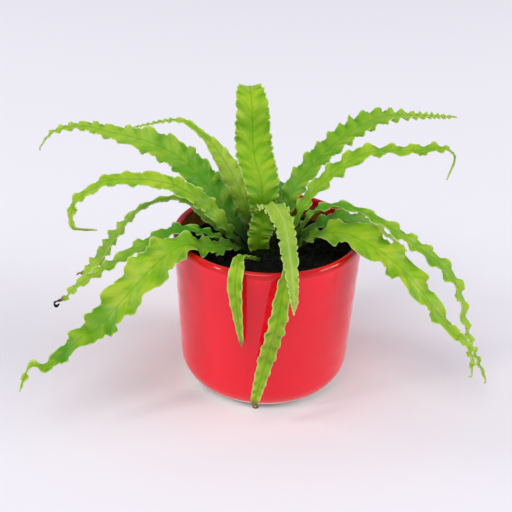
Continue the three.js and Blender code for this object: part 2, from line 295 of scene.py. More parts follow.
def makePot(glaze, clay):
    # profile: foot, rounded lower corner, leaning wall, half-round lip, inside wall, inside corner, floor
    lip, corner, inner = potPiece["wall"] / 2, potPiece["footCorner"], potPiece["innerCorner"]
    innerHeight = potPiece["floor"] + inner
    profile = refined(np.vstack([
        [(potPiece["pole"], 0)],
        arc(outerRadiusAt(corner) - corner, corner, corner, -90, 0, 24),
        arc(potPiece["rimRadius"] - lip, potPiece["height"] - lip, lip, 0, 180, 14),
        arc(innerRadiusAt(innerHeight) - inner, innerHeight, inner, 0, -90, 16),
        [(potPiece["pole"], potPiece["floor"])]]), potPiece["spacing"])
    rings = turned(profile, potPiece["sides"])
    turns = np.arctan2(rings[..., 1], rings[..., 0])
    # radius += grown * (throwing * slow rings up the wall + ovality * cos 2 turns)
    # + roll * exp(-((height - rollHeight) / rollWidth)^2) - glazeRoll on the bare clay, outside
    height = profile[:, 1:]
    grown = smoothStep((height - potPiece["plainFoot"]) / potPiece["plainOver"])
    wobble = potPiece["ringWobble"] * np.sin(turns)
    thrown = np.sin(height / potPiece["ringSpacing"] + wobble) * np.sin(height / potPiece["ringBeat"])
    oval = potPiece["ovality"] * np.cos(2 * turns + potPiece["ovalTurn"])
    swell = grown * (potPiece["throwing"] * thrown + oval)
    outside = np.arange(len(profile))[:, None] < len(profile) / 2
    fromRoll = (height - potPiece["rollHeight"]) / potPiece["rollWidth"]
    glazed = smoothStep((height - potPiece["bareFoot"]) / potPiece["glazeEdge"])
    swell = swell + outside * potPiece["roll"] * np.exp(-fromRoll ** 2)
    swell = swell + outside * potPiece["glazeRoll"] * (glazed - 1)
    direction = np.stack([np.cos(turns), np.sin(turns), 0 * turns], axis=-1)
    rings = rings + direction * swell[..., None]
    pot = addPiece("glazedPot", rings, glaze, "pot")
    # the inside wall's peat stain, partly painted shade
    addAttribute(pot, "stainAndShade", withEnds((1 - outside) * stainAndShadeAt(rings)))
    pot.data.materials.append(clay)
    centres = np.empty(len(pot.data.polygons) * 3)
    pot.data.polygons.foreach_get("center", centres)
    bare = centres[2::3] < potPiece["bareFoot"] * mm
    pot.data.polygons.foreach_set("material_index", bare.astype(np.int32))
    return pot


def stainAndShadeAt(points):
    # share of peat stain and painted shade = smooth(distance behind the front edge) * smooth(depth under
    # the stain's upper edge),
    # both made ragged by a speckle of crossing waves
    x, y, z = (points[..., k] for k in range(3))
    speckle = stainAndShadePiece["speckle"] * np.sin(0.9 * z + 2 * np.sin(0.35 * y)) * np.sin(0.7 * y + 0.4 * z)
    leftwards = smoothStep((-x - stainAndShadePiece["climbFrom"]) / stainAndShadePiece["climbOver"])
    reach = stainAndShadePiece["reach"] + stainAndShadePiece["climb"] * leftwards
    behind = smoothStep((y - stainAndShadePiece["front"]) / stainAndShadePiece["frontOver"] + speckle)
    return behind * smoothStep((reach - z) / stainAndShadePiece["softness"] + 0.5 + speckle)


# ---- soil ----

soilPiece = dict(
    level=101.0, mound=1.5, lump=1.1, gap=0.3, sides=220, ringSpacing=0.65,
    pole=0.3, bottom=0.5,   # least radii of the rings, on top and underneath
    # each: share of the height, waves along X and along Y in radians per mm, phase
    lumpWaves=((0.5, 0.31, -0.27, 2.87), (0.5, 0.31, 0.27, -1.07),
        (0.6, 0.19, -0.47, 2.1), (0.5, 0.53, 0.22, 0)),
    grain=0.45, grainSizes=(6.1, 4.3, 3.1, 2.3, 1.7, 1.3),   # height and wavelengths of the crumbly relief
    edgeGap=2.5,   # the loose pieces lie this far inside the wall
    crumbs=1500, crumbSize=(0.7, 2.6), crumbFlatness=(0.35, 0.65), crumbRoughness=(0.68, 1.25),
    crumbLean=0.8, crumbLift=0.3,
    fibres=110, fibreLength=(4, 12), fibreWidth=0.28, fibreRings=7, fibreBend=0.5, fibreLean=0.12,
    fibreLift=(0.5, 1.1), fibreEndLift=2.2, fibreClear=1.5)


soilRadius = innerRadiusAt(soilPiece["level"])


def soilHeight(x, y):
    # low mound + crossing waves of lumps, level at the wall
    share = np.hypot(x, y) / soilRadius
    lumps = sum(part * np.sin(alongX * x + alongY * y + phase)
        for part, alongX, alongY, phase in soilPiece["lumpWaves"])
    mound = soilPiece["mound"] * (1 - share ** 2)
    return soilPiece["level"] + mound + soilPiece["lump"] * lumps * (1 - share ** 6)


def ripples(x, y, rng, wavelengths):
    # sum of crossing waves with seeded directions: amplitude falls with the wavelength
    total = 0 * x
    for wavelength in wavelengths:
        direction, phase = rng.uniform(0, 2 * math.pi, 2)
        across = (x * math.cos(direction) + y * math.sin(direction)) * 2 * math.pi / wavelength
        along = (y * math.cos(direction) - x * math.sin(direction)) * 2 * math.pi / (wavelength * 1.3)
        total = total + np.sin(across + phase + 0.8 * np.sin(along)) * wavelength / wavelengths[0]
    return total


def makeSoil(peat):
    # the inside of the pot up to its level, gap inside the wall; top = soil height + grain * ripples
    rng = np.random.default_rng(seed)
    inner, gap, level = potPiece["innerCorner"], soilPiece["gap"], soilPiece["level"]
    innerHeight = potPiece["floor"] + inner
    top = np.arange(soilRadius - gap, soilPiece["pole"], -soilPiece["ringSpacing"])
    profile = np.vstack([
        [(soilPiece["bottom"], potPiece["floor"] + gap)],
        arc(innerRadiusAt(innerHeight) - inner, innerHeight, inner - gap, -90, 0, 6),
        np.column_stack([top, np.full(len(top), level)])])
    rings = turned(profile, soilPiece["sides"])
    x, y = rings[-len(top):, :, 0], rings[-len(top):, :, 1]
    fine = ripples(x, y, rng, soilPiece["grainSizes"])
    rings[-len(top):, :, 2] = soilHeight(x, y) + soilPiece["grain"] * fine
    return addPiece("soilSurface", rings, peat, "soil")


def onBall(rise, turn):
    # directions from latitude and longitude: (cos r cos t, cos r sin t, sin r)
    return np.stack([np.cos(rise) * np.cos(turn), np.cos(rise) * np.sin(turn),
        np.sin(rise) + 0 * turn], axis=-1)


def turnedFrames(rng, count, lean):
    # seeded upright frames: x is a random bearing, z leans off the vertical by up to lean
    bearing, tilt = rng.uniform(0, 2 * math.pi, count), rng.uniform(-lean, lean, (2, count))
    x = np.stack([np.cos(bearing), np.sin(bearing), tilt[0]], axis=-1)
    z = unit(np.stack([tilt[1] * np.sin(bearing), -tilt[1] * np.cos(bearing), np.ones(count)], axis=-1))
    y = unit(np.cross(z, x))
    return np.stack([np.cross(y, z), y, z], axis=1)


def copies(shape, frames, places, sizes):
    # point = place + frame * (size * local point), for every copy at once
    sized = shape * sizes[:, None, None, :]
    return np.einsum("nrkc,ncd->nrkd", sized, frames) + places[:, None, None, :]


def soilSpots(rng, count):
    # seeded places on the soil: radius = greatest * root of a share, which is even over the area
    radius = (soilRadius - soilPiece["edgeGap"]) * np.sqrt(rng.uniform(0, 1, count))
    turn = rng.uniform(0, 2 * math.pi, count)
    x, y = radius * np.cos(turn), radius * np.sin(turn)
    return np.column_stack([x, y, soilHeight(x, y)])


def makeCrumbs(peat):
    # each crumb is a rough ball, with a seeded radius at each point, flattened by its own sizes
    rng = np.random.default_rng(seed + 1)
    count = soilPiece["crumbs"]
    rise = np.radians([-62, -22, 22, 62])[:, None]
    turn = np.linspace(0, 2 * math.pi, 6, endpoint=False)[None]
    ball = onBall(rise, turn)
    rough = ball * rng.uniform(*soilPiece["crumbRoughness"], (count, *ball.shape[:2], 1))
    small, large = soilPiece["crumbSize"]
    size = small + (large - small) * rng.uniform(0, 1, count) ** 3  # most of them are small
    sizes = size[:, None] * rng.uniform(*soilPiece["crumbFlatness"], (count, 3))
    frames = turnedFrames(rng, count, soilPiece["crumbLean"])
    places = soilSpots(rng, count) + (0, 0, soilPiece["crumbLift"])
    crumbs = copies(rough, frames, places, sizes)
    return addPiece("soilCrumbs", crumbs, peat, smooth=False)


def makeFibres(fibre):
    # each fibre is a thin bowed rod of triangular section that lies on the soil:
    # point = spot + along * length + aside * 2 * bend * length * along^2, and its ends stand up
    rng = np.random.default_rng(seed + 2)
    count, rings = soilPiece["fibres"], soilPiece["fibreRings"]
    along = np.linspace(-0.5, 0.5, rings)[None, :, None]
    length = rng.uniform(*soilPiece["fibreLength"], count)[:, None, None]
    bend = rng.uniform(-soilPiece["fibreBend"], soilPiece["fibreBend"], (count, 1, 1))
    frames, spots = turnedFrames(rng, count, soilPiece["fibreLean"]), soilSpots(rng, count)
    bearing = np.arctan2(frames[:, 0, 1], frames[:, 0, 0])[:, None]
    walked, bow = (along * length)[..., 0], (bend * length * along ** 2 * 2)[..., 0]
    x = spots[:, 0:1] + walked * np.cos(bearing) - bow * np.sin(bearing)
    y = spots[:, 1:2] + walked * np.sin(bearing) + bow * np.cos(bearing)
    inside = np.minimum(1, (soilRadius - soilPiece["fibreClear"]) / np.hypot(x, y))
    x, y = x * inside, y * inside
    lift = rng.uniform(*soilPiece["fibreLift"], (count, 1))
    lift = lift + rng.uniform(0, soilPiece["fibreEndLift"], (count, 1)) * 4 * along[..., 0] ** 2
    middle = np.stack([x, y, soilHeight(x, y) + lift], axis=-1)[:, :, None, :]
    corner = np.radians([90, 210, 330])
    section = np.stack([-np.sin(bearing) * np.cos(corner), np.cos(bearing) * np.cos(corner),
        np.sin(corner) + 0 * bearing], axis=-1)
    taper = soilPiece["fibreWidth"] * (1 - 1.2 * np.abs(along) ** 1.5)[..., None]
    return addPiece("soilFibres", middle + section[:, None] * taper, fibre)


# ---- crown ----

crownPiece = dict(
    radius=22.0, depth=8.5, middle=97.0, scaleRows=5, twist=3, relief=0.9, sides=144, rings=60,
    felt=0.35,   # height of the fibrous relief
    scales=1100, scaleLength=(1.2, 3.4), scaleWidth=0.4,
    lowest=0.12,   # the scales stand above this share of the knob's height
    scaleBend=0.35, scaleFlatness=0.3, ruffle=0.45, upwards=0.35)


def makeCrown(scaly):
    # flattened knob: size + relief * cos(2 rows * latitude) * cos(rows * longitude + twist * latitude)
    # * cos(latitude)^2 + felt * a finer pattern of the same kind
    rise = np.radians(np.linspace(-88, 88, crownPiece["rings"]))[:, None]
    turn = np.linspace(0, 2 * math.pi, crownPiece["sides"], endpoint=False)[None]
    rows = crownPiece["scaleRows"]
    scaleRelief = np.cos(2 * rows * rise) * np.cos(rows * turn + crownPiece["twist"] * rise)
    feltRelief = np.sin(23 * turn + 9 * rise) * np.cos(17 * rise + 4 * np.sin(3 * turn))
    bump = crownPiece["relief"] * scaleRelief * np.cos(rise) ** 2
    bump = bump + crownPiece["felt"] * feltRelief * np.cos(rise)
    wide, tall = crownPiece["radius"] + bump, crownPiece["depth"] + bump
    rings = np.stack([wide * np.cos(rise) * np.cos(turn), wide * np.cos(rise) * np.sin(turn),
        crownPiece["middle"] + tall * np.sin(rise) + 0 * turn], axis=-1)
    return addPiece("crownKnob", rings, scaly, "crown")


def makeScales(scaly):
    # papery scales: pointed blades of triangular section, rooted in the crown and leaning outwards:
    # local point = (width * cos corner, flatness * width * sin corner + scaleBend * along^2, along)
    rng = np.random.default_rng(seed + 3)
    count = crownPiece["scales"]
    along = np.array([0, 0.3, 0.6, 0.85, 1])[:, None]
    width = np.array([0.7, 1, 0.8, 0.45, 0.08])[:, None]
    corner = np.radians([90, 210, 330])[None]
    thickness = crownPiece["scaleFlatness"] * width * np.sin(corner)
    shape = np.stack([width * np.cos(corner), thickness + crownPiece["scaleBend"] * along ** 2,
        along + 0 * corner], axis=-1)
    rise = np.arcsin(rng.uniform(crownPiece["lowest"], 1, count))
    outwards = onBall(rise, rng.uniform(0, 2 * math.pi, count))
    radii = (crownPiece["radius"], crownPiece["radius"], crownPiece["depth"])
    places = outwards * radii + (0, 0, crownPiece["middle"])
    z = unit(outwards + rng.normal(0, crownPiece["ruffle"], (count, 3)) + (0, 0, crownPiece["upwards"]))
    x = unit(np.cross(z, rng.normal(0, 1, (count, 3))))
    frames = np.stack([x, np.cross(z, x), z], axis=1)
    length = rng.uniform(*crownPiece["scaleLength"], count)
    sizes = np.column_stack([np.full(count, crownPiece["scaleWidth"]), length * 0.5, length])
    scales = copies(shape, frames, places - z, sizes)
    return addPiece("crownScales", scales, scaly, smooth=False)


# ---- fronds ----

bladePiece = dict(
    samples=3000,   # points on the curve of the midrib
    leastWidth=1.5,
    tipLength=6.0, bluntness=0.25,   # the rounded end, and the share of the width that it keeps
    channel=0.22, channelFade=0.6, channelSoftness=0.1,   # the trough: depth, its loss, round bottom
    crimp=0.17,   # depth of the folds, in half widths
    evenness=0.35,   # at 0 that half width is the local one, at 1 the frond's greatest
    scallop=0.12,   # how far the margin is drawn in between its lobes
    pitch=11.5, slowing=0.35, drift=0.2,   # length of a fold, shorter at both ends, and uneven
    lead=0.25,   # the folds of one margin run ahead of the other's, in waves
    wavesFrom=0.03, wavesGrow=0.1, wavesEnd=0.05, rollGrow=0.25,   # in shares of the length
    roll=0.0, swing=0.0, flip=False,
    stationsPerWave=16, acrossSteps=28,
    skin=0.42,   # thickness of the blade beside the midrib
    ribDepth=(2.2, 0.5),  # how far the midrib stands out underneath, at the root and at the tip
    ribWidth=(1.5, 0.5),
    spine=0.35, spineWidth=0.55,   # the low ridge on the upper face, and its width against the rib's
    slant=0.3,   # how far the folds lean towards the tip, in half widths
    reachIn=1.2,   # how quickly the folds die away towards the midrib
    lobeShape=0.75,   # under 1 the margin's lobes are round and the notches narrow
    lobing=0.045,   # how far the margin's lobes swell along the blade, in waves
    unevenness=0.35, unevenFrom=4,   # how much the folds differ in depth, and its slowest waves
    wander=0.09, wanderFrom=3,   # the same for their place, in waves
    frill=0.085, frillBeat=2.6, frillWander=3.0,   # fine waves along the margin itself
    tail=2.0, tailWidth=1.0, tailTaper=0.9, tailSteps=2.5,   # the tip beyond the arc, steps per mm
    curl=30.0, curlAside=0.0, curlGrowth=1.4,   # degrees that it curls and leans over, how late
    withered=0.0, charred=0.5,   # share of the length that is dry, and how dark its end is
    tone=0.5,   # from 0, dull green, to 1, sunny
    shades=(),   # patches of painted shade and painted light, each: share of the length, its spread, amount of deep green as painted shade or, under 0, pale green as painted light
    paleRim=1.3,   # width of the pale margin
    rootFade=(0.04, 0.22))  # shares of the length between which the dark stalk turns to green

# bearing is the frond's own upright plane, from +X, and swing turns it towards the tip. roll turns
# the face about the midrib, and flip shows the upper face outwards. arc lists, from root to tip, reach
# from the axis, height above the foot, width, and how far the midrib lies beside its plane. The other
# keys replace bladePiece's values.
# shades gives patches of painted shade and, under 0, painted light along each frond
frondArcs = {
    "frond_back": dict(bearing=110, swing=-10, pitch=8.5, crimp=0.07, tone=0.6, frill=0.06,
        arc=[(9, 96, 4), (14, 120, 16), (19, 143, 26), (45, 160, 29), (58, 190, 25), (73, 198, 20),
        (86, 193, 13), (102, 166, 4)]),
    "frond_right_top": dict(bearing=43, roll=8, pitch=10.5, crimp=0.18, tone=0.45,
        shades=((0.35, 0.12, 0.4), (0.55, 0.12, 0.35)),
        arc=[(10, 96, 4), (17, 121, 13), (24, 140, 17.5), (42, 156, 19), (73, 170, 21), (102, 176, 23),
        (126, 175, 20), (162, 167, 12), (213, 155, 5)]),
    "frond_right_upper": dict(bearing=12, roll=10, pitch=12, crimp=0.22, tone=0.5, wavesEnd=0.18,
        arc=[(11, 96, 4, -1), (20.5, 126, 10, -2.6), (34, 148, 16, -1), (63, 170, 18), (86, 173, 12),
        (106, 172, 14), (125, 173, 9), (135, 166, 5), (132, 150, 3)]),
    "frond_right_long": dict(bearing=-15, roll=13, pitch=13, crimp=0.28, tone=0.42, tail=4, curl=90,
        tailWidth=1.6, shades=((0.25, 0.12, 0.6), (0.8, 0.15, -0.4)),
        arc=[(12, 96, 4), (24, 124, 6), (37, 140, 8), (63, 142.5, 8), (108, 120, 14), (135, 97, 14),
        (149, 58, 9), (166, 23, 4)]),
    "frond_right_inner": dict(bearing=9, roll=8, crimp=0.2, tone=0.1, shades=((0.4, 0.3, 0.7),),
        arc=[(16, 96, 4), (22, 106, 6), (35, 118, 12), (55, 124, 17), (78, 117, 13), (104, 96, 2)]),
    "frond_right_broad": dict(bearing=-26, roll=11, pitch=17, crimp=0.2, tone=0.75, tail=4, curl=110,
        tailWidth=1.6, shades=((0.1, 0.1, 0.4), (0.45, 0.1, -0.1), (0.72, 0.12, 0.3)),
        arc=[(16, 96, 4), (22, 109, 7), (40, 123, 18), (63, 128, 29), (100, 113, 26), (139, 76, 11),
        (147, 73, 9), (155, 62, 7), (158, 46, 3)]),
    "frond_front_folded": dict(bearing=278, flip=True, pitch=9.5, crimp=0.13, tone=0.8, scallop=0.3,
        frill=0.2, rootFade=(0.0, 0.11), shades=((0.5, 0.07, -0.2), (0.72, 0.12, 0.45)),
        arc=[(4, 96, 10, -3), (7, 114, 17, -7.5), (6, 138, 19, -1), (26, 147, 17, 1), (46, 143, 14, 4),
        (67, 128, 11, 5), (81, 109, 6, 6), (83, 99, 3, 6)]),
    "frond_front_long": dict(bearing=302, swing=-38, roll=-8, pitch=10, crimp=0.2, tone=0.5, tail=9,
        curl=330, curlAside=-70, tailWidth=1.5, withered=0.04, frill=0.05,
        arc=[(16, 96, 4), (23, 106, 4), (45, 119, 6, -1), (64, 125, 7, -4), (71, 112, 10, -2),
        (81, 89, 13), (75, 59, 12, 2), (82, 24, 6, 2)]),
    "frond_front_small": dict(bearing=251, swing=4, pitch=10, crimp=0.11, tone=0.55, scallop=0.07,
        frill=0.03, withered=0.08, charred=0.35,
        arc=[(15, 96, 4), (22, 105, 4), (45, 117, 6, -5), (67, 119, 10, -1), (73, 106, 10, -1),
        (69, 63, 3, 2)]),
    "frond_left_broad": dict(bearing=212, roll=-10, pitch=16, tone=0.95,
        shades=((0.34, 0.1, 0.2), (0.64, 0.08, 0.6), (0.8, 0.07, 0.75), (0.12, 0.1, 0.5)),
        arc=[(16, 96, 4), (24, 109.5, 9), (48, 114, 22), (68, 121, 23), (91, 110, 35), (131, 76, 27),
        (143, 72, 18), (167, 57, 10), (180, 60, 6), (188, 45, 4)]),
    "frond_left_low": dict(bearing=193, roll=-10, pitch=10.5, crimp=0.25, tone=0.35, tail=9, curl=260,
        tailWidth=3.4, withered=0.05, charred=1, shades=((0.3, 0.2, 0.95), (0.65, 0.15, 0.3)),
        arc=[(18, 96, 4), (24, 105, 5), (43, 118, 8), (64, 122, 12), (84, 114.5, 14), (110, 100, 11),
        (135, 85, 10), (145, 75, 6), (151, 73, 3)]),
    "frond_left_thin": dict(bearing=173, roll=-25, pitch=10, tone=0.4, tail=4, curl=60, tailWidth=2,
        withered=0.03,
        arc=[(16, 96, 4), (23, 106, 4), (44, 121, 6), (63, 136, 6), (91, 127, 6), (113, 101, 16),
        (124, 83, 20), (137, 69, 10), (142, 67, 3)]),
    "frond_left_hooked": dict(bearing=183, roll=-40, crimp=0.25, tone=0.85, scallop=0.2, wavesEnd=0.18,
        shades=((0.12, 0.06, 0.4), (0.3, 0.1, 0.15), (0.5, 0.15, -0.3)),
        arc=[(11, 96, 4), (25, 112, 9), (46, 138, 14), (72, 153, 13), (108, 155, 10), (120, 149, 8),
        (135, 138, 8), (138, 119, 9), (123, 116, 5)]),
    "frond_left_top": dict(bearing=154, roll=-24, pitch=12, tone=0.35, tail=4, curl=70, tailWidth=1.6,
        shades=((0.3, 0.12, 0.6), (0.6, 0.1, -0.3)),
        arc=[(10, 96, 4), (21, 109, 9), (45, 136, 24), (71, 156, 25), (99, 164, 24), (131, 165, 15),
        (159, 165, 10), (187, 155, 8), (201, 140, 5)]),
    "frond_left_rear": dict(bearing=126, roll=-25, pitch=11, crimp=0.2, tone=0.9,
        shades=((0.3, 0.14, -0.9),),
        arc=[(11, 96, 4), (19, 108, 7), (31, 127, 14), (44, 141, 16.5), (67, 155, 12), (89, 161, 6),
        (124, 161, 6), (200, 131, 4)]),
    "frond_rear_right": dict(bearing=80, pitch=15, tone=0.3, shades=((0.4, 0.3, 0.8),),
        arc=[(15, 96, 4), (22, 105, 6), (42, 117, 14), (68, 121.5, 13), (90, 113, 12), (108, 90, 7),
        (118, 60, 2)]),
    "frond_rear_left": dict(bearing=122, pitch=15, tone=0.35,
        arc=[(17, 96, 4), (23, 105, 7), (43, 120, 16), (70, 128, 18), (96, 118, 15), (122, 103, 8),
        (140, 82, 2)]),
}


# what every point of a frond tells its colour
frondFacts = ("rim", "share", "stalk", "upper", "withered", "tone", "paintedShading", "fold")


def curveThrough(knots, samples):
    # uniform Catmull-Rom curve through the knots, with both ends carried on straight
    knots = np.vstack([2 * knots[0] - knots[1], knots, 2 * knots[-1] - knots[-2]])
    place = np.linspace(0, len(knots) - 3, samples)
    first = np.minimum(place.astype(int), len(knots) - 4)
    t = (place - first)[:, None]
    a, b, c, d = (knots[first + k] for k in range(4))
    bend, twist = 2 * a - 5 * b + 4 * c - d, 3 * b - a - 3 * c + d
    return 0.5 * (2 * b + (c - a) * t + bend * t ** 2 + twist * t ** 3)


def slowWander(s, rng, slowest, fastest):
    # seeded smooth function of s, mostly between -1 and 1: 1.6 * the weighted mean of four sines
    rates, phases = rng.uniform(slowest, fastest, 4), rng.uniform(0, 1, 4)
    weights = 1 / np.sqrt(rates)
    waves = np.sin(2 * math.pi * (np.multiply.outer(s, rates) + phases))
    return waves @ weights / weights.sum() * 1.6


def midribPath(shape):
    # the arc's points at their bearings, joined by a curve with the width as its fourth number
    reach, height, width, aside = np.array([(*knot, 0)[:4] for knot in shape.arc], float).T
    turns = np.radians(shape.bearing + shape.swing * np.linspace(0, 1, len(reach)))
    x, y = reach * np.cos(turns) - aside * np.sin(turns), reach * np.sin(turns) + aside * np.cos(turns)
    curve = curveThrough(np.column_stack([x, y, height, width]), shape.samples)
    steps = np.linalg.norm(np.diff(curve[:, :3], axis=0), axis=1)
    return curve, np.concatenate([[0], np.cumsum(steps)])


def curledTail(shape, centre, along, face, side, steps):
    # the withered tip goes on from the midrib's end and curls tighter and tighter, over its own face
    # or, turned by curlAside about its length, to the side: turn = curl * share walked ^ curlGrowth
    aside = math.radians(shape.curlAside)
    face = face * math.cos(aside) + side * math.sin(aside)
    walked = np.linspace(0, 1, steps + 1)[1:]
    turn = np.radians(shape.curl) * walked ** shape.curlGrowth
    direction = along * np.cos(turn)[:, None] - face * np.sin(turn)[:, None]
    return centre + np.cumsum(direction, axis=0) * shape.tail / steps, direction


def frondRings(shape, rng):
    # point = midrib + side * lateral + face * lift +- thickness, with u across from -1 to 1 and x even:
    # s = x - slowing * sin(2 pi x) / (2 pi) + drift * (sin(6 pi x + bearing) - sin(bearing)) / (6 pi)
    # turn = 2 pi * (waves * x + lead of one margin + wander + slant of the folds)
    # lateral = u * half * (1 - scallop * (1 - |sin turn|^lobeShape) * u^2)
    # lift = half * channel * rounded |u| + depth * (crimp * sin(turn) * |u|^reachIn + frill * |u|^4),
    # where depth is half, mixed with the frond's greatest half width, and
    # swell along the blade = -lobing * pitch * sin(2 turn) * u^2, which rounds the lobes
    curve, walked = midribPath(shape)
    length = walked[-1]
    waves = round(length / shape.pitch)
    even = np.linspace(0, 1, waves * shape.stationsPerWave + 1)
    start, driftAngle = math.radians(shape.bearing), 6 * math.pi
    s = (even - shape.slowing / (2 * math.pi) * np.sin(2 * math.pi * even)
        + shape.drift / driftAngle * (np.sin(driftAngle * even + start) - math.sin(start)))
    centre = np.column_stack([np.interp(s * length, walked, curve[:, k]) for k in range(3)])
    width = np.maximum(np.interp(s * length, walked, curve[:, 3]), shape.leastWidth)
    along = unit(np.gradient(centre, s, axis=0))
    bearing = np.radians(shape.bearing + shape.swing * s)
    side = np.column_stack([-np.sin(bearing), np.cos(bearing), 0 * s]) * (-1 if shape.flip else 1)
    side = unit(side - along * (side * along).sum(axis=1, keepdims=True))
    roll = (np.radians(shape.roll) * smoothStep(s / shape.rollGrow))[:, None]
    side = side * np.cos(roll) + np.cross(along, side) * np.sin(roll)
    face = np.cross(along, side)
    toTip = np.clip(1 - (1 - s) * length / shape.tipLength, 0, 1)
    half = 0.5 * width * np.sqrt(1 - (1 - shape.bluntness ** 2) * toTip ** 2)

    tailSteps = max(5, int(shape.tail * shape.tailSteps))
    tailCentre, tailAlong = curledTail(shape, centre[-1], along[-1], face[-1], side[-1], tailSteps)
    tailShare = np.linspace(0, 1, tailSteps + 1)[1:]
    swollen = 0.5 * shape.tailWidth * np.sin(math.pi * tailShare)
    tailHalf = half[-1] * (1 - shape.tailTaper * tailShare) + swollen
    centre, along = np.vstack([centre, tailCentre]), np.vstack([along, tailAlong])
    side = np.vstack([side, np.repeat(side[-1:], tailSteps, axis=0)])
    face = np.cross(along, side)
    half = np.append(half, tailHalf)[:, None]
    even = np.append(even, np.ones(tailSteps))[:, None]
    s = np.append(s, 1 + tailShare * shape.tail / length)[:, None]
    inBlade = np.minimum(s, 1)

    u = np.sin(np.linspace(-0.5, 0.5, shape.acrossSteps + 1) * math.pi)[None]
    spread = np.abs(u)
    waving = smoothStep((s - shape.wavesFrom) / shape.wavesGrow)
    waving = waving * smoothStep((1 - s) / shape.wavesEnd)

    def wandered(slowest):
        # a wander of its own for each half of the blade
        left, right = (slowWander(s[:, 0], rng, slowest, waves / 2)[:, None] for k in range(2))
        return np.where(u < 0, left, right)

    wander = wandered(shape.wanderFrom)
    strength = 1 + shape.unevenness * wandered(shape.unevenFrom)
    lead = np.where(u < 0, shape.lead, 0)
    turn = 2 * math.pi * (waves * even + lead + shape.wander * wander
        + shape.slant * (1 - spread) * half / shape.pitch)
    wave = np.sin(turn)
    notch = 1 - np.abs(wave) ** shape.lobeShape
    lateral = u * half * (1 - shape.scallop * waving * strength * notch * spread ** 2)
    soft = shape.channelSoftness
    channel = (np.sqrt(spread ** 2 + soft ** 2) - soft) / (math.sqrt(1 + soft ** 2) - soft)
    ripple = np.sin(shape.frillBeat * turn + shape.frillWander * wander)
    frill = shape.frill * waving * spread ** 4 * ripple
    depth = half + shape.evenness * (width.max() / 2 - half)
    lift = (half * shape.channel * (1 - shape.channelFade * inBlade) * channel
        + depth * (shape.crimp * strength * waving * wave * spread ** shape.reachIn + frill))
    swell = -shape.lobing * shape.pitch * waving * np.sin(2 * turn) * spread ** 2
    middle = (centre[:, None] + side[:, None] * lateral[..., None] + face[:, None] * lift[..., None]
        + along[:, None] * swell[..., None])

    # upper face = middle + normal * (skin + spine), lower face = middle - normal * (skin + rib), where
    # rib = ribDepth * exp(-(lateral / ribWidth)^2) * (1 - u^4), and the spine is lower and narrower
    normal = unit(np.cross(np.gradient(middle, axis=0), np.gradient(middle, axis=1)))
    skin = 0.5 * shape.skin * np.sqrt(1 - spread ** 8)
    ribDepth, ribWidth = (root + (tip - root) * inBlade for root, tip in (shape.ribDepth, shape.ribWidth))
    rib = ribDepth * np.exp(-(lateral / ribWidth) ** 2) * (1 - spread ** 4)
    spine = np.exp(-(lateral / (shape.spineWidth * ribWidth)) ** 2) * (1 - spread ** 4)
    upper = middle + normal * (skin + shape.spine * spine)[..., None]
    lower = middle - normal * (skin + rib)[..., None]
    rings = np.concatenate([upper, lower[:, -2:0:-1]], axis=1)

    def ringValues(values):
        # the values across the upper face, then back across the lower one
        full = np.broadcast_to(values, middle.shape[:2])
        return np.concatenate([full, full[:, -2:0:-1]], axis=1)

    onTop = np.concatenate([np.ones(u.size), np.zeros(u.size - 2)])[None] + 0 * s
    rim = 1 - smoothStep((1 - spread) * half / shape.paleRim)
    facts = dict(across=ringValues(lateral), along=ringValues(s * length), rim=ringValues(rim),
        share=ringValues(s), upper=onTop)
    dry = max(shape.withered, 1e-3)
    charred = shape.charred if shape.withered else 0
    facts["withered"] = smoothStep((facts["share"] - 1 + dry) / dry) * charred
    facts["tone"] = np.full(onTop.shape, shape.tone)
    # fold: the height of the folds across the blade, which sets their painted shade and painted light
    facts["fold"] = ringValues(wave * waving * spread)
    darkEnd, greenFrom = shape.rootFade
    facts["stalk"] = 1 - smoothStep((facts["share"] - darkEnd) / (greenFrom - darkEnd))
    # painted shading: painted shade in deeper green over 0 and painted light in paler green under it, sum
    # of amount * exp(-((share - place) / extent)^2)
    facts["paintedShading"] = sum(amount * np.exp(-((facts["share"] - place) / extent) ** 2)
        for place, extent, amount in shape.shades) + 0 * onTop
    return rings, facts


def makeFrond(node, green, rng):
    # one frond from bladePiece and its own values, with the facts that its colour needs
    shape = SimpleNamespace(**{**bladePiece, **frondArcs[node]})
    rings, facts = frondRings(shape, rng)
    piece = addPiece(node.replace("frond", "blade"), rings, green, node)
    for name in frondFacts:
        addAttribute(piece, name, withEnds(facts[name]))
    corners = np.empty(len(piece.data.loops), dtype=np.int32)
    piece.data.loops.foreach_get("vertex_index", corners)
    places = np.column_stack([withEnds(facts["across"]), withEnds(facts["along"])])[corners]
    uvMap = piece.data.uv_layers.new(name="blade")  # millimetres across and along the blade
    uvMap.uv.foreach_set("vector", places.astype(np.float32).ravel())
    return len(piece.data.polygons)


# ---- materials ----

glazeLook = dict(
    # rim is the deeper red of the lip: painted shade for the dark reflection and weaker light that the lip
    # gets
    red="#F80A27", deep="#F20621", rim="#C80600", peat="#93642C",
    noises=((28.0, 2.0), (1.3, 1.0)),   # size and detail of the clouds, and of the pin holes
    lipFrom=-0.5, lipTo=0.9, lipShade=0.85)   # heights from the roll where the lip's painted shade sets in, and its amount
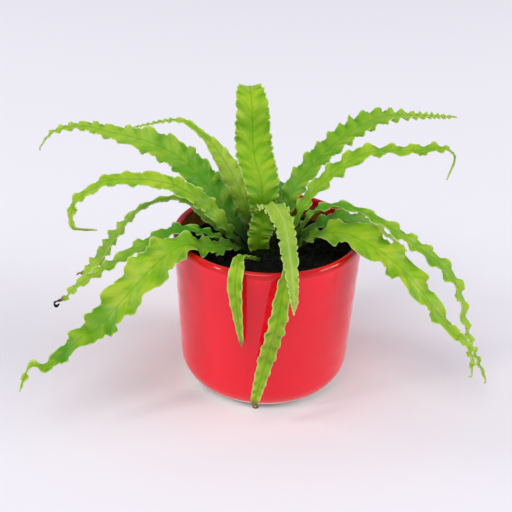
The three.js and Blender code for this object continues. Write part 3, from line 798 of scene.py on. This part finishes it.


def makeGlaze():
    # earthenware under a clear red gloss glaze: wet shine, and a deeper red painted on the lip as painted
    # shade.
    # colour = cloudy red, covered by the lip's painted shade above the roll, and by the peat stain, partly
    # painted shade, inside the wall
    material, tree, shader = newMaterial("redGlossGlaze")
    place = addNode(tree, "TexCoord").outputs["Object"]
    cloud, pins = (addNode(tree, "TexNoise",
        inputs={"Vector": place, "Scale": 1 / (size * mm), "Detail": detail}).outputs[0]
        for size, detail in glazeLook["noises"])
    height = addNode(tree, "SeparateXYZ", inputs={"Vector": place}).outputs["Z"]
    # the lip's painted shade: a deeper red above the roll
    lip = addNode(tree, "MapRange", smoothRamp,
        {"Value": height, "From Min": (potPiece["rollHeight"] + glazeLook["lipFrom"]) * mm,
         "From Max": (potPiece["rollHeight"] + glazeLook["lipTo"]) * mm,
         "To Min": 0.0, "To Max": glazeLook["lipShade"]}).outputs[0]
    # peat stain inside the wall, partly painted shade
    stainAndShade = addNode(tree, "Attribute", {"attribute_name": "stainAndShade"}).outputs["Fac"]
    colour = linearColour(glazeLook["deep"])
    for amount, above in ((cloud, "red"), (lip, "rim"), (stainAndShade, "peat")):
        colour = addNode(tree, "Mix", colourMix,
            {0: amount, 6: colour, 7: linearColour(glazeLook[above])}).outputs[2]
    bump = addNode(tree, "Bump",
        inputs={"Height": cloud, "Strength": 0.35, "Distance": 0.6 * mm}).outputs[0]
    skin = addNode(tree, "Bump",
        inputs={"Height": pins, "Normal": bump, "Strength": 0.04, "Distance": 0.1 * mm}).outputs[0]
    feed(tree, shader, {
        "Base Color": colour, "Normal": skin, "Roughness": 0.06, "IOR": 1.52, "Specular IOR Level": 0.42})
    return material


# Biscuit-fired clay, wiped bare: chalky, pale, faint grit.
clayLook = dict(
    name="biscuitClay", low="#FFF8EC", high="#EADFCB", grain=0.9, detail=4.0,
    bump=0.5, depth=0.1, roughness=0.85, shine=0.5)

# Dry papery scales and old root fibre: green-black, streaked, almost without shine.
scaleLook = dict(
    name="paperyScale", low="#060A02", high="#142006", grain=1.1, detail=3.0,
    bump=0.6, depth=0.2, roughness=0.6, shine=0.12)

# Damp peat and composted bark: near black, matt, with drier brown patches of this size.
peatLook = dict(
    name="dampPeat", low="#070806", high="#1E150D", grain=1.6, detail=5.0,
    bump=0.9, depth=0.5, roughness=0.93, shine=0.25, patch=19.0, patchFrom=0.5, patchTo=0.72)


def makeGrained(look):
    # colour from low to high, and relief, both after one fine noise: share of high = noise, times
    # smooth(a coarse noise) where the look has patches
    material, tree, shader = newMaterial(look["name"])
    place = addNode(tree, "TexCoord").outputs["Object"]
    grain = addNode(tree, "TexNoise",
        inputs={"Vector": place, "Scale": 1 / (look["grain"] * mm), "Detail": look["detail"]}).outputs[0]
    amount = grain
    if "patch" in look:
        patch = addNode(tree, "TexNoise",
            inputs={"Vector": place, "Scale": 1 / (look["patch"] * mm), "Detail": 3.0}).outputs[0]
        patched = addNode(tree, "MapRange", smoothRamp,
            {"Value": patch, "From Min": look["patchFrom"], "From Max": look["patchTo"]}).outputs[0]
        amount = addNode(tree, "Math", {"operation": "MULTIPLY"}, {0: patched, 1: grain}).outputs[0]
    colour = addNode(tree, "Mix", colourMix,
        {0: amount, 6: linearColour(look["low"]), 7: linearColour(look["high"])}).outputs[2]
    bump = addNode(tree, "Bump",
        inputs={"Height": grain, "Strength": look["bump"], "Distance": look["depth"] * mm}).outputs[0]
    feed(tree, shader, {
        "Base Color": colour, "Normal": bump, "Roughness": look["roughness"],
        "Specular IOR Level": look["shine"]})
    return material


veinSpacing = 1.7   # drawn twice as wide as the real ones, to show

frondLook = dict(
    deep="#449812", fresh="#9ACC1A", sunny="#C8DC3C", dull="#9ABF58", pale="#C2DE4E", root="#0A2A06",
    margin="#E4F09C", keel="#C4DA72", crease="#4A8A10", under="#B6D25A", through="#BCE022",
    dry="#8C7A42", dead="#241C16",
    # noises: size, detail and roughness
    noises=dict(mottle=(13.0, 2.0, 0.6), patches=(34.0, 3.0, 0.55)),
    # amounts from the facts and the noises, each: name, how, source, and a second number or source.
    # A ramp goes smoothly from the third number to the fourth, or from 0 to 1, as its source goes from
    # the first to the second. Veins and streaks run from the midrib to the margin and lean to the tip.
    steps=(
        ("outwards", "ABSOLUTE", "across", 0), ("lean", "MULTIPLY", "outwards", 0.45),
        ("leaned", "SUBTRACT", "along", "lean"),
        ("wave", "MULTIPLY", "leaned", 2 * math.pi / veinSpacing), ("ridges", "SINE", "wave", 0),
        ("veins", "ramp", "ridges", (0.2, 1)), ("streakLean", "MULTIPLY", "outwards", 1.1),
        ("streakLeaned", "SUBTRACT", "along", "streakLean"), ("streakX", "MULTIPLY", "across", 0.09),
        ("streakY", "MULTIPLY", "streakLeaned", 0.2), ("streaks", "noise", "streakX", "streakY"),
        ("freshness", "ramp", "tone", (0, 0.6)), ("mottled", "ramp", "mottle", (0.35, 0.7)),
        ("sunshine", "ramp", "tone", (0.1, 1, 0.1, 0.95)),
        ("sunSpots", "MULTIPLY", "mottled", "sunshine"), ("tipSun", "ramp", "share", (0.55, 1, 0, 0.45)),
        ("deepPatches", "ramp", "patches", (0.5, 0.68, 0, 0.4)),
        # lowShare and dullness darken the lower half of the blade: partly a deeper green towards the root,
        # partly painted shade near the crown
        ("lowShare", "ramp", "share", (0.05, 0.5, 1, 0)), ("dullness", "ramp", "tone", (0, 1, 1, 0.45)),
        # the folds' hollows carry painted shade, in deeper green, and their crests painted light, in
        # sunnier green
        ("lowDeepAndShade", "MULTIPLY", "lowShare", "dullness"), ("paintedFoldShade", "ramp", "fold", (0, -0.8, 0, 0.45)),
        # shaded and bleached paint shade and light in patches along the blade, in deeper and paler green
        ("paintedFoldLight", "ramp", "fold", (0.1, 0.9, 0, 0.35)), ("paintedShade", "ramp", "paintedShading", (0, 1)),
        ("paintedLight", "ramp", "paintedShading", (0, -1)), ("veinTint", "MULTIPLY", "veins", 0.08),
        ("deepStreaks", "ramp", "streaks", (0.5, 0.72, 0, 0.3)),
        ("sunnyStreaks", "ramp", "streaks", (0.5, 0.3, 0, 0.3)),
        ("underneath", "ramp", "upper", (0, 1, 0.4, 0)),
        ("ribLine", "ramp", "outwards", (0.2, 0.9, 1, 0)), ("keelShare", "ramp", "upper", (0, 1, 0.7, 0)),
        ("keelLine", "MULTIPLY", "ribLine", "keelShare"),
        ("creaseShare", "ramp", "upper", (0, 1, 0, 0.36)),
        ("creaseLine", "MULTIPLY", "ribLine", "creaseShare"),
        ("rimShare", "ramp", "share", (0.1, 0.4, 0.3, 0.85)), ("paleRim", "MULTIPLY", "rim", "rimShare"),
        ("drying", "ramp", "withered", (0, 0.5)), ("dying", "ramp", "withered", (0.5, 1)),
        ("veinRelief", "MULTIPLY", "veins", 0.5), ("relief", "ADD", "veinRelief", "mottle")),
    # layers of colour over the dull green, from the lowest up: amount, colour
    layers=(
        ("freshness", "fresh"), ("sunSpots", "sunny"), ("tipSun", "sunny"), ("deepPatches", "deep"),
        # the folds' hollows carry painted shade and their crests painted light
        # the low part of the blade is darkened, partly as painted shade near the crown
        ("lowDeepAndShade", "deep"), ("paintedFoldShade", "deep"), ("paintedFoldLight", "sunny"), ("paintedShade", "deep"),
        # the bleached layer is painted light in patches, as the shaded one is painted shade
        ("paintedLight", "pale"), ("veinTint", "deep"), ("deepStreaks", "deep"), ("sunnyStreaks", "sunny"),
        ("underneath", "under"), ("keelLine", "keel"), ("creaseLine", "crease"), ("paleRim", "margin"),
        ("stalk", "root"), ("drying", "dry"), ("dying", "dead")),
    throughTint=0.45, translucent=0.3)


def makeGreen():
    # living frond: thin, satin, light comes through it; yellow-green, with a pale margin and faint
    # oblique veins, and painted shade and painted light on its folds and in patches. Each layer covers the
    # ones below it by its amount.
    material, tree, shader = newMaterial("livingFrond")
    blade = addNode(tree, "UVMap", {"uv_map": "blade"}).outputs[0]
    split = addNode(tree, "SeparateXYZ", inputs={"Vector": blade})
    place = addNode(tree, "TexCoord").outputs["Object"]
    sockets = dict(across=split.outputs["X"], along=split.outputs["Y"])
    for name in frondFacts:
        sockets[name] = addNode(tree, "Attribute", {"attribute_name": name}).outputs["Fac"]
    for name, (size, detail, roughness) in frondLook["noises"].items():
        sockets[name] = addNode(tree, "TexNoise", inputs={
            "Vector": place, "Scale": 1 / (size * mm), "Detail": detail, "Roughness": roughness}).outputs[0]

    for name, how, source, second in frondLook["steps"]:
        if how == "ramp":
            low, high, toLow, toHigh = (*second, 0.0, 1.0)[:4]
            node = addNode(tree, "MapRange", smoothRamp,
                {"Value": sockets[source], "From Min": low, "From Max": high,
                 "To Min": toLow, "To Max": toHigh})
        elif how == "noise":
            spot = addNode(tree, "CombineXYZ", inputs={"X": sockets[source], "Y": sockets[second]})
            node = addNode(tree, "TexNoise",
                inputs={"Vector": spot.outputs[0], "Scale": 1.0, "Detail": 3.0})
        else:
            node = addNode(tree, "Math", {"operation": how},
                {0: sockets[source], 1: sockets.get(second, second)})
        sockets[name] = node.outputs[0]

    base = linearColour(frondLook["dull"])
    for amount, colour in frondLook["layers"]:
        base = addNode(tree, "Mix", colourMix,
            {0: sockets[amount], 6: base, 7: linearColour(frondLook[colour])}).outputs[2]
    bump = addNode(tree, "Bump",
        inputs={"Height": sockets["relief"], "Strength": 0.35, "Distance": 0.25 * mm}).outputs[0]
    feed(tree, shader, {
        "Base Color": base, "Normal": bump, "Roughness": 0.38, "IOR": 1.38, "Specular IOR Level": 0.38})

    # light through the blade: its own colour made yellower, but not where it is withered
    tinted = addNode(tree, "Mix", colourMix,
        {0: frondLook["throughTint"], 6: base, 7: linearColour(frondLook["through"])}).outputs[2]
    glow = addNode(tree, "Mix", colourMix,
        {0: sockets["withered"], 6: tinted, 7: base}).outputs[2]
    through = addNode(tree, "BsdfTranslucent", inputs={"Color": glow, "Normal": bump}).outputs[0]
    both = addNode(tree, "MixShader",
        inputs={0: frondLook["translucent"], 1: shader.outputs[0], 2: through}).outputs[0]
    feed(tree, tree.nodes["Material Output"], {"Surface": both})
    return material


# ---- assembly ----

makePot(makeGlaze(), makeGrained(clayLook))
print("pot made")
peat, scaly = makeGrained(peatLook), makeGrained(scaleLook)
makeSoil(peat)
makeCrumbs(peat)
makeFibres(scaly)
print("soil made")
makeCrown(scaly)
makeScales(scaly)
print("crown made")
green = makeGreen()
frondSeeds = np.random.default_rng(seed + 4)
faceCounts = [makeFrond(node, green, frondSeeds) for node in frondArcs]
print("fronds made,", sum(faceCounts), "faces")
